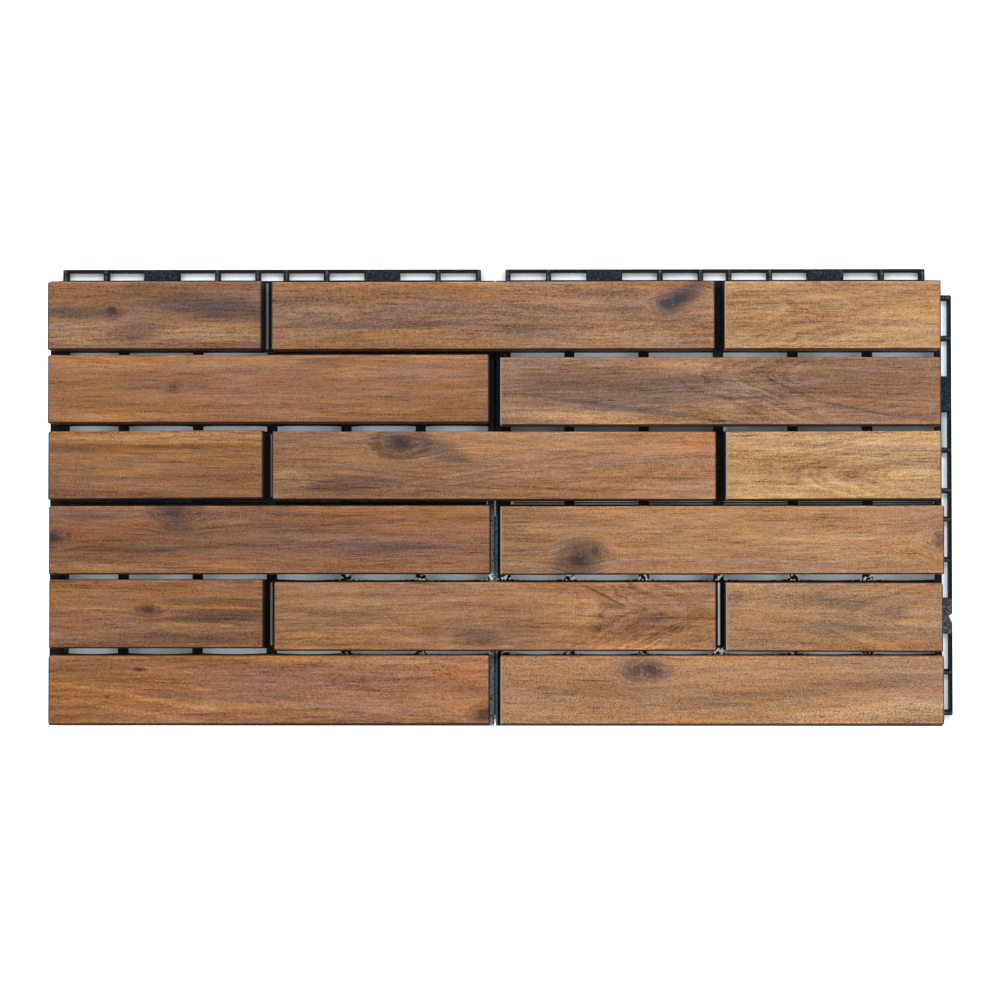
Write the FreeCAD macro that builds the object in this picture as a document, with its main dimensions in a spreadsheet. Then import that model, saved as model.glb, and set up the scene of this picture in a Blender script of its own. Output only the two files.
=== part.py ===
"""Interlocking deck tile: fifteen hardwood slats in a brick pattern, screwed from beneath to two square
moulded plastic bases that are clipped together side by side.

Frame: millimetres, +Z up, +X along the slats, origin at floor level under the middle of the footprint.
Every base is drawn in its own square cell, whose lower left corner is the base's local origin.
"""

import FreeCAD, Part
import os

import Sketcher
from FreeCAD import Vector

ROWS = 6
COLUMNS = 6
SHORT_SLAT_ROWS = (1, 3, 5)  # rows are counted from the far side, +Y

doc = FreeCAD.newDocument("DeckTile")
sheet = doc.addObject("Spreadsheet::Sheet", "sizes")

DRIVING_SIZES = {
    # slats
    "slat_length": 294.4,
    "slat_width": 45.9,
    "slat_thickness": 12.0,
    "slat_edge_round": 1.5,
    "joint_gap": 5.6,
    "row_gap": 3.8,
    # deck of the base
    "base_height": 12.0,
    "deck_thickness": 2.5,
    "seam": 1.0,
    "skirt_wall": 2.0,
    # grille openings under the gaps between the rows
    "grille_bar": 6.8,
    "grille_end_width": 3.4,
    "grille_bulge": 0.7,
    "grille_end_land": 1.9,
    "middle_slot_width": 2.0,
    # ribs under the deck
    "cross_rib": 2.4,
    "row_rib": 1.6,
    "drain_height": 3.0,
    # raised spacers between the ends of the slats
    "spacer_width": 1.4,
    "spacer_length": 42.0,
    "spacer_height": 1.5,
    # loop strips of the interlock
    "strip_height": 5.0,
    "strip_corner": 1.0,
    "inner_rail": 1.4,
    "loop_width": 5.3,
    "outer_rail": 2.0,
    "loop_length": 23.9,
    "loop_bar": 3.5,
    "pad_length": 24.3,
    "strip_break": 15.6,
    "strip_shift": 1.3,
    # clips that drop into the loops of the next base
    "clip_clearance": 0.4,
    "clip_length": 12.0,
    "clip_lift": 1.0,
    # worn notch in one pad
    "notch_depth": 2.5,
    "notch_above": 1.4,
    "notch_below": 4.8,
    # screws
    "screw_shank": 3.5,
    "screw_head": 6.5,
    "screw_head_height": 2.2,
    "screw_bite": 9.0,
}

DERIVED_SIZES = {
    "module_pitch": "slat_length + joint_gap",
    "short_slat_length": "(slat_length - joint_gap) / 2",
    "row_pitch": "slat_width + row_gap",
    "row_margin": f"(module_pitch - {ROWS} * slat_width - {ROWS - 1} * row_gap) / 2",
    "cell_pitch": f"module_pitch / {COLUMNS}",
    "body_inset": "seam / 2",
    "body_side": "module_pitch - seam",
    "body_edge": "module_pitch - body_inset",
    "deck_underside": "base_height - deck_thickness",
    "grille_middle_width": "grille_end_width + 2 * grille_bulge",
    "first_gap_middle": "row_margin + slat_width + row_gap / 2",
    "strip_reach": "inner_rail + loop_width + outer_rail",
    "loop_group": "4 * loop_length + 4 * loop_bar + pad_length",
    "strip_length": "2 * loop_group + strip_break",
    "strip_start": "(module_pitch - strip_length) / 2 - strip_shift",
    "recess_depth": "strip_reach - body_inset + clip_clearance",
    "recess_height": "strip_height + clip_clearance",
    "inner_start": "recess_depth + skirt_wall",
    "inner_end": "body_edge - skirt_wall",
    "clip_width": "loop_width - 2 * clip_clearance",
    "clip_start": "inner_rail - body_inset + clip_clearance",
    "tile_left": "-(2 * module_pitch + strip_reach) / 2",
    "tile_front": "-(module_pitch + strip_reach) / 2",
}


def fill_sheet():
    """Writes the driving sizes as numbers and the derived ones as formulas, each under its alias."""
    rows = list(DRIVING_SIZES.items()) + [(name, "=" + rule) for name, rule in DERIVED_SIZES.items()]
    for line, (name, value) in enumerate(rows, start=1):
        sheet.set(f"A{line}", name)
        sheet.set(f"B{line}", str(value))
        sheet.setAlias(f"B{line}", name)
    doc.recompute()


def sized(rule):
    """Turns a rule on sheet names into an expression on the sheet."""
    words = rule.replace("(", " ( ").replace(")", " ) ").split()
    names = set(DRIVING_SIZES) | set(DERIVED_SIZES)
    return " ".join("sizes." + word if word in names else word for word in words)


def value(rule):
    return float(sheet.evalExpression(sized(rule)))


def bind(sketch, constraint, rule):
    """Adds one dimension to a sketch and ties it to the sheet."""
    number = sketch.addConstraint(constraint)
    sketch.setExpression(f"Constraints[{number}]", sized(rule))


def body(name, x="0", y="0", z="0"):
    made = doc.addObject("PartDesign::Body", name)
    made.Label = name
    for axis, rule in (("x", x), ("y", y), ("z", z)):
        made.setExpression(f"Placement.Base.{axis}", sized(rule))
    return made


def sketch_on(owner, name, plane="XY_Plane", lift="0"):
    """A sketch on one of the body's own origin planes, raised along the plane's normal."""
    sketch = owner.newObject("Sketcher::SketchObject", name)
    support = next(item for item in owner.Origin.OriginFeatures if item.Role == plane)
    sketch.AttachmentSupport = [(support, "")]
    sketch.MapMode = "FlatFace"
    sketch.setExpression("AttachmentOffset.Base.z", sized(lift))
    return sketch


def chain(sketch, pieces):
    """Adds curves end to end as one closed outline and returns the number of the first."""
    first = sketch.GeometryCount
    for piece in pieces:
        sketch.addGeometry(piece)
    for step in range(len(pieces)):
        following = first + (step + 1) % len(pieces)
        sketch.addConstraint(Sketcher.Constraint("Coincident", first + step, 2, following, 1))
    return first


def rectangle(sketch, left, bottom, width, depth):
    """A rectangle from its lower left corner, width and depth, each a rule on the sheet."""
    x, y, w, d = (value(rule) for rule in (left, bottom, width, depth))
    corners = [Vector(x, y), Vector(x + w, y), Vector(x + w, y + d), Vector(x, y + d)]
    sides = [Part.LineSegment(a, b) for a, b in zip(corners, corners[1:] + corners[:1])]
    first = chain(sketch, sides)
    for side in (0, 2):
        sketch.addConstraint(Sketcher.Constraint("Horizontal", first + side))
        sketch.addConstraint(Sketcher.Constraint("Vertical", first + side + 1))
    bind(sketch, Sketcher.Constraint("DistanceX", -1, 1, first, 1, x), left)
    bind(sketch, Sketcher.Constraint("DistanceY", -1, 1, first, 1, y), bottom)
    bind(sketch, Sketcher.Constraint("DistanceX", first, 1, first, 2, w), width)
    bind(sketch, Sketcher.Constraint("DistanceY", first + 1, 1, first + 1, 2, d), depth)


def barrel(sketch, left, middle, length):
    """A grille opening: straight ends and long sides that bulge outwards as flat arcs."""
    x, y, span = value(left), value(middle), value(length)
    end, bulge = value("grille_end_width") / 2, value("grille_bulge")
    near_left, near_right = Vector(x, y - end), Vector(x + span, y - end)
    far_left, far_right = Vector(x, y + end), Vector(x + span, y + end)
    near_side = Part.Arc(near_left, Vector(x + span / 2, y - end - bulge), near_right)
    far_side = Part.Arc(far_right, Vector(x + span / 2, y + end + bulge), far_left)
    first = sketch.GeometryCount
    sketch.addGeometry(near_side)
    sketch.addGeometry(Part.LineSegment(near_right, far_right))
    sketch.addGeometry(far_side)
    sketch.addGeometry(Part.LineSegment(far_left, near_left))
    right, left_end = first + 1, first + 3
    sketch.addConstraint(Sketcher.Constraint("Coincident", first, 1, left_end, 2))
    sketch.addConstraint(Sketcher.Constraint("Coincident", first, 2, right, 1))
    sketch.addConstraint(Sketcher.Constraint("Coincident", first + 2, 1, right, 2))
    sketch.addConstraint(Sketcher.Constraint("Coincident", first + 2, 2, left_end, 1))
    for upright in (right, left_end):
        sketch.addConstraint(Sketcher.Constraint("Vertical", upright))
    sketch.addConstraint(Sketcher.Constraint("Equal", right, left_end))
    sketch.addConstraint(Sketcher.Constraint("Horizontal", left_end, 2, right, 1))
    half = f"( {length} ) / 2"
    radius = f"( {half} * {half} + grille_bulge * grille_bulge ) / ( 2 * grille_bulge )"
    for side in (first, first + 2):
        bind(sketch, Sketcher.Constraint("Radius", side, value(radius)), radius)
    bind(sketch, Sketcher.Constraint("DistanceX", -1, 1, left_end, 2, x), left)
    bind(sketch, Sketcher.Constraint("DistanceY", -1, 1, left_end, 2, y - end), f"{middle} - grille_end_width / 2")
    bind(sketch, Sketcher.Constraint("DistanceY", right, 1, right, 2, 2 * end), "grille_end_width")
    bind(sketch, Sketcher.Constraint("DistanceX", left_end, 2, right, 1, span), length)


def hexagon(sketch, x, y, across):
    """A hexagon across its corners, centred on a point."""
    cx, cy, radius = value(x), value(y), value(across) / 2
    corners = [Vector(cx + radius, cy)]
    turn = FreeCAD.Rotation(Vector(0, 0, 1), 60)
    arm = Vector(radius, 0)
    for _ in range(5):
        arm = turn.multVec(arm)
        corners.append(Vector(cx, cy) + arm)
    sides = [Part.LineSegment(a, b) for a, b in zip(corners, corners[1:] + corners[:1])]
    first = chain(sketch, sides)
    circle = sketch.addGeometry(Part.Circle(Vector(cx, cy), Vector(0, 0, 1), radius), True)
    for side in range(6):
        sketch.addConstraint(Sketcher.Constraint("PointOnObject", first + side, 1, circle))
        if side:
            sketch.addConstraint(Sketcher.Constraint("Equal", first, first + side))
    sketch.addConstraint(Sketcher.Constraint("Horizontal", circle, 3, first, 1))
    bind(sketch, Sketcher.Constraint("Radius", circle, radius), f"{across} / 2")
    bind(sketch, Sketcher.Constraint("DistanceX", -1, 1, circle, 3, cx), x)
    bind(sketch, Sketcher.Constraint("DistanceY", -1, 1, circle, 3, cy), y)


def pad(owner, name, sketch, height):
    made = owner.newObject("PartDesign::Pad", name)
    made.Profile = sketch
    made.Refine = False
    made.setExpression("Length", sized(height))
    return made


def pocket_up(owner, name, sketch, depth=None):
    """Cuts upwards from the sketch, to a depth or right through."""
    made = owner.newObject("PartDesign::Pocket", name)
    made.Profile = sketch
    made.Reversed = True
    made.Refine = False
    if depth is None:
        made.Type = "ThroughAll"
    else:
        made.setExpression("Length", sized(depth))
    return made


def repeat(owner, name, feature, steps):
    """Repeats a feature along its sketch's axes. Each step is an axis, a spacing rule and a count."""
    pattern = owner.newObject("PartDesign::MultiTransform", name)
    pattern.Originals = [feature]
    pattern.Refine = False
    lines = []
    for number, (axis, spacing, count) in enumerate(steps, start=1):
        line = owner.newObject("PartDesign::LinearPattern", f"{name}Step{number}")
        line.Direction = (feature.Profile[0], [axis])
        line.Mode = "Spacing"
        line.setExpression("Offset", sized(spacing))
        line.Occurrences = count
        lines.append(line)
    pattern.Transformations = lines
    owner.Tip = pattern
    return pattern


def by_side(side, along, across, length, width):
    """Swaps a rectangle's terms for the strip on the +X or +Y side: H_Axis runs along +Y's strip."""
    if side == "Y":
        return along, across, length, width
    return across, along, width, length


def strip_axis(side):
    return "H_Axis" if side == "Y" else "V_Axis"


def loop_pair(sketch, side, across, width, length, inset):
    """Two neighbouring loops, or what fits into them, at the start of the strip."""
    for step in range(2):
        along = f"strip_start + loop_bar + {step} * ( loop_length + loop_bar ) + {inset}"
        rectangle(sketch, *by_side(side, along, across, length, width))


def repeat_loops(owner, name, feature, side):
    """Carries a pair of loops to the other side of the pad, and then to the other half of the strip."""
    axis = strip_axis(side)
    past_pad = "2 * loop_length + loop_bar + pad_length"
    past_break = "loop_group + strip_break"
    return repeat(owner, name, feature, [(axis, past_pad, 2), (axis, past_break, 2)])


def loop_strip(owner, side):
    """The outward strip of loops and pads on one side of the base."""
    outline = sketch_on(owner, f"Strip{side}Outline")
    rectangle(outline, *by_side(side, "strip_start", "inner_end", "strip_length", "skirt_wall + strip_reach"))
    pad(owner, f"Strip{side}", outline, "strip_height")
    loops = sketch_on(owner, f"Loops{side}Outline")
    loop_pair(loops, side, "body_edge + inner_rail", "loop_width", "loop_length", "0")
    cut = pocket_up(owner, f"Loops{side}", loops)
    repeat_loops(owner, f"AllLoops{side}", cut, side)
    gap = sketch_on(owner, f"Break{side}Outline")
    across = by_side(side, "strip_start + loop_group", "body_edge", "strip_break", "inner_rail + loop_width")
    rectangle(gap, *across)
    pocket_up(owner, f"Break{side}", gap)


def clip_row(owner, side):
    """The inward recess that takes the next base's strip, and the clips that drop into its loops."""
    hollow = sketch_on(owner, f"Recess{side}Outline")
    start = "strip_start - clip_clearance"
    rectangle(hollow, *by_side(side, start, "0", "strip_length + 2 * clip_clearance", "recess_depth"))
    pocket_up(owner, f"Recess{side}", hollow, "recess_height")
    clips = sketch_on(owner, f"Clips{side}Outline", lift="clip_lift")
    loop_pair(clips, side, "clip_start", "clip_width", "clip_length", "( loop_length - clip_length ) / 2")
    standing = pad(owner, f"Clips{side}", clips, "recess_height - clip_lift")
    repeat_loops(owner, f"AllClips{side}", standing, side)


def deck(owner):
    """The square block of the base, before its underside is opened."""
    block = sketch_on(owner, "BlockOutline")
    rectangle(block, "body_inset", "body_inset", "body_side", "body_side")
    pad(owner, "Block", block, "base_height")


def underside(owner):
    """Opens the block up to the deck plate, with cross ribs to the floor and a rib beside each row gap."""
    inside = sketch_on(owner, "InsideOutline")
    span = "inner_end - inner_start"
    rectangle(inside, "inner_start", "inner_start", span, span)
    pocket_up(owner, "Inside", inside, "deck_underside")
    rib = sketch_on(owner, "CrossRibOutline")
    rectangle(rib, "cell_pitch - cross_rib / 2", "inner_start", "cross_rib", span)
    ribs = pad(owner, "CrossRib", rib, "deck_underside")
    repeat(owner, "AllCrossRibs", ribs, [("H_Axis", "cell_pitch", COLUMNS - 1)])
    beside = sketch_on(owner, "RowRibOutline", lift="drain_height")
    rectangle(beside, "inner_start", "first_gap_middle + grille_middle_width / 2", span, "row_rib")
    row_ribs = pad(owner, "RowRib", beside, "deck_underside - drain_height")
    repeat(owner, "AllRowRibs", row_ribs, [("V_Axis", "row_pitch", ROWS - 1)])


def grille(owner):
    """The barrel-shaped openings under the row gaps, and the narrow slots under the middle gap."""
    opening = sketch_on(owner, "GrilleOutline")
    slot = sketch_on(owner, "MiddleSlotOutline")
    middle = f"first_gap_middle + {ROWS // 2 - 1} * row_pitch"
    last = COLUMNS - 1
    for column in range(COLUMNS):
        left = "inner_start" if column == 0 else f"{column} * cell_pitch + grille_bar / 2"
        inner_right = f"{column + 1} * cell_pitch - grille_bar / 2"
        right = "module_pitch - joint_gap / 2 - grille_end_land" if column == last else inner_right
        length = f"{right} - ( {left} )"
        barrel(opening, left, "first_gap_middle", length)
        rectangle(slot, left, f"{middle} - middle_slot_width / 2", length, "middle_slot_width")
    openings = pocket_up(owner, "Grille", opening)
    across_middle = f"{ROWS // 2} * row_pitch"
    repeat(owner, "AllGrille", openings, [("V_Axis", "row_pitch", 2), ("V_Axis", across_middle, 2)])
    pocket_up(owner, "MiddleSlots", slot)


def screw_holes(owner):
    """Clearance holes through the deck, four to a row, two in each half."""
    hole = sketch_on(owner, "ScrewHoleOutline")
    hexagon(hole, "cell_pitch / 2", "row_margin + slat_width / 2", "screw_shank")
    holes = pocket_up(owner, "ScrewHole", hole)
    steps = [("H_Axis", "2 * cell_pitch", 2), ("H_Axis", "3 * cell_pitch", 2), ("V_Axis", "row_pitch", ROWS)]
    repeat(owner, "AllScrewHoles", holes, steps)


def spacers(owner):
    """Low ridges on the deck that keep the ends of the slats apart in the rows with short slats."""
    ridge = sketch_on(owner, "SpacerOutline", lift="base_height")
    left = "module_pitch / 2 - spacer_width / 2"
    bottom = "row_margin + row_pitch + ( slat_width - spacer_length ) / 2"
    rectangle(ridge, left, bottom, "spacer_width", "spacer_length")
    ridges = pad(owner, "Spacer", ridge, "spacer_height")
    repeat(owner, "AllSpacers", ridges, [("V_Axis", "2 * row_pitch", len(SHORT_SLAT_ROWS))])


def worn_notch(owner):
    """A V broken out of the outer rail, at the pad of the near half of the +X strip."""
    tip_x, mouth_x = "body_edge + strip_reach - notch_depth", "body_edge + strip_reach"
    pad_middle = "strip_start + 2 * loop_length + 2 * loop_bar + pad_length / 2"
    notch = sketch_on(owner, "NotchOutline")
    tip = Vector(value(tip_x), value(pad_middle))
    low = Vector(value(mouth_x), value(f"{pad_middle} - notch_below"))
    high = Vector(value(mouth_x), value(f"{pad_middle} + notch_above"))
    sides = [Part.LineSegment(a, b) for a, b in ((tip, low), (low, high), (high, tip))]
    first = chain(notch, sides)
    notch.addConstraint(Sketcher.Constraint("Vertical", first + 1))
    bind(notch, Sketcher.Constraint("DistanceX", -1, 1, first, 1, tip.x), tip_x)
    bind(notch, Sketcher.Constraint("DistanceY", -1, 1, first, 1, tip.y), pad_middle)
    bind(notch, Sketcher.Constraint("DistanceX", first, 1, first, 2, low.x - tip.x), "notch_depth")
    bind(notch, Sketcher.Constraint("DistanceY", first, 2, first, 1, tip.y - low.y), "notch_below")
    bind(notch, Sketcher.Constraint("DistanceY", first + 1, 1, first + 1, 2, high.y - low.y), "notch_below + notch_above")
    pocket_up(owner, "Notch", notch)


def round_strip_corners(owner):
    """Rounds the outer upright corners of both loop strips."""
    doc.recompute()
    outer = value("body_edge + strip_reach")
    ends = (value("strip_start"), value("strip_start + strip_length"))
    corners = [(outer, end) for end in ends] + [(end, outer) for end in ends]
    names = []
    for number, edge in enumerate(owner.Tip.Shape.Edges, start=1):
        a, b = edge.Vertexes[0].Point, edge.Vertexes[-1].Point
        upright = abs(a.x - b.x) + abs(a.y - b.y) < 1e-6
        if upright and any(abs(a.x - x) + abs(a.y - y) < 1e-6 for x, y in corners):
            names.append(f"Edge{number}")
    square_strips = owner.Tip
    rounding = owner.newObject("PartDesign::Fillet", "StripCorners")
    rounding.Base = (square_strips, names)
    rounding.setExpression("Radius", sized("strip_corner"))


def moulding(name):
    """The plastic base as it leaves its mould, with its cell's corner at the origin."""
    made = body(name)
    deck(made)
    for side in ("X", "Y"):
        loop_strip(made, side)
    round_strip_corners(made)
    for side in ("X", "Y"):
        clip_row(made, side)
    underside(made)
    spacers(made)
    screw_holes(made)
    grille(made)
    made.Tip.Refine = True  # merges the flush faces of all the steps at once
    return made


def base(name, mould, column, worn):
    """One base from the mould, set in its place in the row of bases."""
    made = body(name, x=f"tile_left + {column} * module_pitch", y="tile_front")
    made.BaseFeature = mould
    if worn:
        worn_notch(made)
    return made


def slat(name, row, left, length, screw_rows):
    """One slat: a planed length with rounded upper edges and pilot holes for its screws beneath."""
    front = f"tile_front + row_margin + {ROWS - row} * row_pitch"
    made = body(name, x=f"tile_left + {left}", y=front, z="base_height")
    profile = sketch_on(made, "Profile")
    rectangle(profile, "0", "0", length, "slat_width")
    plank = pad(made, "Plank", profile, "slat_thickness")
    doc.recompute()
    top = value("slat_thickness")
    names = []
    for number, edge in enumerate(plank.Shape.Edges, start=1):
        a, b = edge.Vertexes[0].Point, edge.Vertexes[-1].Point
        if abs(a.y - b.y) < 1e-6 and min(a.z, b.z) > top - 1e-6:
            names.append(f"Edge{number}")
    rounding = made.newObject("PartDesign::Fillet", "UpperEdges")
    rounding.Base = (plank, names)
    rounding.setExpression("Radius", sized("slat_edge_round"))
    made.Tip = rounding
    doc.recompute()
    hole = sketch_on(made, "PilotOutline")
    hexagon(hole, "cell_pitch / 2 - joint_gap / 2", "slat_width / 2", "screw_shank")
    pilots = pocket_up(made, "Pilot", hole, "screw_bite")
    steps = [("H_Axis", "2 * cell_pitch", 2), ("H_Axis", "3 * cell_pitch", screw_rows)]
    repeat(made, "AllPilots", pilots, steps[:screw_rows])
    return made


def row_of_slats(row):
    """The slats of one row: two long ones, or a long one between two short ones across the seam."""
    half_gap = "joint_gap / 2"
    if row in SHORT_SLAT_ROWS:
        return [
            slat(f"slat_row_{row}_left", row, half_gap, "short_slat_length", 1),
            slat(f"slat_row_{row}_middle", row, f"module_pitch / 2 + {half_gap}", "slat_length", 2),
            slat(f"slat_row_{row}_right", row, f"3 * module_pitch / 2 + {half_gap}", "short_slat_length", 1),
        ]
    return [
        slat(f"slat_row_{row}_left", row, half_gap, "slat_length", 2),
        slat(f"slat_row_{row}_right", row, f"module_pitch + {half_gap}", "slat_length", 2),
    ]


def screws(name):
    """All the hex-head tapping screws that hold the slats, driven upwards through the deck."""
    made = body(name, x="tile_left", y="tile_front", z="deck_underside - screw_head_height")
    made.AllowCompound = True
    middle_x, middle_y = "cell_pitch / 2", "row_margin + slat_width / 2"
    head = sketch_on(made, "HeadOutline")
    hexagon(head, middle_x, middle_y, "screw_head")
    heads = pad(made, "Head", head, "screw_head_height")
    shank = sketch_on(made, "ShankOutline", lift="screw_head_height")
    hexagon(shank, middle_x, middle_y, "screw_shank")
    shanks = pad(made, "Shank", shank, "deck_thickness + screw_bite")
    pattern = repeat(
        made,
        "AllScrews",
        heads,
        [
            ("H_Axis", "2 * cell_pitch", 2),
            ("H_Axis", "3 * cell_pitch", 2),
            ("H_Axis", "module_pitch", 2),
            ("V_Axis", "row_pitch", ROWS),
        ],
    )
    pattern.Originals = [heads, shanks]
    return made


def write(parts):
    """Checks every object and shape, and then writes one STEP file for each part."""
    doc.recompute()
    broken = [item.Name for item in doc.Objects if {"Invalid", "Error"} & set(item.State)]
    if broken:
        raise RuntimeError(f"these objects failed: {broken}")
    os.makedirs("parts", exist_ok=True)
    for part in parts:
        if part.Shape.isNull() or not part.Shape.isValid():
            raise RuntimeError(f"{part.Label} has no valid shape")
        part.Shape.exportStep(f"parts/{part.Label}.step")
        solids = len(part.Shape.Solids)
        print(f"{part.Label}: {solids} solid(s), {part.Shape.Volume / 1000:.1f} cm3, {part.Shape.BoundBox}")


fill_sheet()
mould = moulding("base_moulding")
parts = [base("base_left", mould, 0, worn=False), base("base_right", mould, 1, worn=True)]
for row in range(1, ROWS + 1):
    parts += row_of_slats(row)
parts.append(screws("slat_screws"))
write(parts)
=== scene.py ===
"""Looks of the interlocking deck tile: oiled hardwood slats on black moulded bases, on a plain pale floor.

Lengths in the tables are millimetres in the row frame: +X along the slats, +Y to the far side, +Z up.
"""

import math

import bmesh
import bpy
from mathutils import Matrix, Vector, noise


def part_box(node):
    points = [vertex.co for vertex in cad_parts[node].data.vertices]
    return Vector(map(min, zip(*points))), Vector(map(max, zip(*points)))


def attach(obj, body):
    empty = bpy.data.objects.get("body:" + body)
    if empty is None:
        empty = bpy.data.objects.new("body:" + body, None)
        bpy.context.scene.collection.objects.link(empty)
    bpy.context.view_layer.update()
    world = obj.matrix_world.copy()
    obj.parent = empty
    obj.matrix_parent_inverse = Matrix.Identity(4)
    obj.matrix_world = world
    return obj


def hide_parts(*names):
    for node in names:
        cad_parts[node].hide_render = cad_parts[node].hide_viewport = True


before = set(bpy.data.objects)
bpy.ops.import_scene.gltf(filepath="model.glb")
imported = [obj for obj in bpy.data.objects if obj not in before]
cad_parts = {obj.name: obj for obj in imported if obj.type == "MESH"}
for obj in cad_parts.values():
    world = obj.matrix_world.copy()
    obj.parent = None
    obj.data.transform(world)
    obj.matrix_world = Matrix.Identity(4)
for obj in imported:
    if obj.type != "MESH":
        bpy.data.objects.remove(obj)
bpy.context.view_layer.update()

MM = 0.001
ROOT = "root"

# camera
CAMERA_PLACE = (7.1, -21.3, 1167.0)
CAMERA_TARGET = (-0.9, -2.7, 24.0)
LENS = 61.9

# light
EXPOSURE = 1.6  # how much brighter than its own colour a matt upward surface comes out
SHEEN = 0.006  # what the gloss adds to a matt colour
WORLD_LEVEL = 0.15
RIM_LEVEL = 0.04
# The soft boxes leave the sky right above the camera dark: name, x, y, size along x and y, share of the light.
BOXES = (
    ("left_box", -1450.0, 0.0, 1200.0, 2400.0, 0.27),
    ("right_box", 1450.0, 0.0, 1200.0, 2400.0, 0.33),
    ("back_box", 0.0, 1450.0, 1600.0, 1200.0, 0.40),
)
BOX_HEIGHT = 2000.0
# Painted light: how strongly the floor glows under the boards and in the open.
UNDER_GLOW = 0.12
OPEN_GLOW = 0.8
# Painted shade on the floor where little light gets under the boards: middle x and y, half length, half width, share of
# the light lost.
FLOOR_SHADES = ((-79, 98, 73, 18, 0.96), (75, 45, 73, 16, 0.75), (226, 45, 72, 16, 0.6))
FLOOR_PROFILE = ((3.0, -0.0002), (28.0, -0.0002), (30.0, 0.3), (31.4, 1.2), (32.0, 2.6), (32.2, 6.0))

# slats
EDGE_ROUND = 1.5
END_ROUND = 1.2
UNDER_ROUND = 0.5
STATION = 5.0
EDGE_WAVE = 0.16

# screws
HEAD_CORNERS = 6.5
HEAD_HEIGHT = 2.2
SHANK = 3.5
THREAD_PITCH = 1.35
THREAD_DEPTH = 0.35

# plastic
PAD_LENGTH = 24.3
PAD_STEP = 150.0
BAR_PLACES = (37.8, 65.2)
PAD_X = -230.6
PAD_Y = -80.6
WEB_BOTTOM = 1.0
WEB_WIDTHS = {"base_left": 1.9, "base_right": 1.0}


class Graph:
    """Builds a node tree with short calls. A socket or a plain number can be given for any input."""

    def __init__(self, name):
        self.material = bpy.data.materials.new(name)
        self.material.use_nodes = True
        self.tree = self.material.node_tree
        self.tree.nodes.clear()

    def node(self, kind, inputs=(), **settings):
        made = self.tree.nodes.new(kind)
        for name, setting in settings.items():
            setattr(made, name, setting)
        for key, given in dict(inputs).items():
            if isinstance(given, bpy.types.NodeSocket):
                self.tree.links.new(given, made.inputs[key])
            else:
                made.inputs[key].default_value = given
        return made

    def place(self):
        """The point on the piece, in metres in the row frame."""
        return self.node("ShaderNodeTexCoord").outputs["Object"]

    def facing(self):
        """The way the surface faces, as the piece was made."""
        return self.node("ShaderNodeTexCoord").outputs["Normal"]

    def math(self, operation, a, b=0.0, clamp=False):
        return self.node("ShaderNodeMath", {0: a, 1: b}, operation=operation, use_clamp=clamp).outputs[0]

    def vector(self, operation, a, b=(0, 0, 0)):
        return self.node("ShaderNodeVectorMath", {0: a, 1: b}, operation=operation).outputs["Vector"]

    def length(self, a):
        return self.node("ShaderNodeVectorMath", {0: a}, operation="LENGTH").outputs["Value"]

    def parts(self, vector):
        return self.node("ShaderNodeSeparateXYZ", {0: vector}).outputs

    def join(self, x, y, z):
        return self.node("ShaderNodeCombineXYZ", {0: x, 1: y, 2: z}).outputs[0]

    def noise(self, vector, scale=1.0, detail=3.0, roughness=0.5, distortion=0.0):
        inputs = {
            "Vector": vector,
            "Scale": scale,
            "Detail": detail,
            "Roughness": roughness,
            "Distortion": distortion,
        }
        return self.node("ShaderNodeTexNoise", inputs).outputs

    def stretched(self, vector, along, across, shift=(0, 0, 0)):
        """The point scaled to the waves per metre along and across the grain."""
        scaled = self.vector("MULTIPLY", vector, (along, across, across))
        return self.vector("ADD", scaled, shift)

    def ease(self, value, low, high, to_low=0.0, to_high=1.0):
        """A smooth step from one level to another as the value goes from low to high."""
        inputs = {"Value": value, "From Min": low, "From Max": high, "To Min": to_low, "To Max": to_high}
        return self.node("ShaderNodeMapRange", inputs, interpolation_type="SMOOTHSTEP").outputs[0]

    def mix(self, share, a, b, blend="MIX"):
        made = self.node("ShaderNodeMix", data_type="RGBA", blend_type=blend)
        for socket, given in ((made.inputs[0], share), (made.inputs[6], a), (made.inputs[7], b)):
            if isinstance(given, bpy.types.NodeSocket):
                self.tree.links.new(given, socket)
            else:
                socket.default_value = given
        return made.outputs[2]

    def ramp(self, value, stops):
        made = self.node("ShaderNodeValToRGB", {0: value})
        while len(made.color_ramp.elements) < len(stops):
            made.color_ramp.elements.new(0.5)
        for element, (at, colour) in zip(made.color_ramp.elements, stops):
            element.position = at
            element.color = colour
        return made.outputs[0]

    def bump(self, height, distance, strength=1.0):
        inputs = {"Height": height, "Distance": distance, "Strength": strength}
        return self.node("ShaderNodeBump", inputs).outputs[0]

    def finish(self, inputs):
        shader = self.node("ShaderNodeBsdfPrincipled", inputs)
        output = self.node("ShaderNodeOutputMaterial")
        self.tree.links.new(shader.outputs[0], output.inputs[0])
        return self.material


def seen(red, green, blue):
    """A surface colour that comes out as this picture colour, 0 to 255, under the scene's light."""
    def linear(level):
        level /= 255
        return level / 12.92 if level <= 0.04045 else ((level + 0.055) / 1.055) ** 2.4

    return tuple(max(0.002, linear(level) / EXPOSURE - SHEEN) for level in (red, green, blue)) + (1.0,)


def add_piece(name, mesh, material):
    piece = bpy.data.objects.new(name, mesh)
    bpy.context.scene.collection.objects.link(piece)
    mesh.materials.append(material)
    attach(piece, ROOT)
    return piece


# wood

WOOD_TONES = (
    (0.00, seen(64, 40, 28)),
    (0.25, seen(106, 70, 48)),
    (0.50, seen(156, 113, 82)),
    (0.70, seen(182, 139, 101)),
    (0.85, seen(200, 158, 115)),
    (1.00, seen(220, 180, 134)),
)
KNOT_TONE = seen(82, 60, 55)
KNOT_HEART = seen(54, 46, 50)
END_TONE = seen(40, 27, 22)
# painted highlight colour for the lit ends of the slats
LIT_END_TONE = seen(196, 184, 180)

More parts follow.
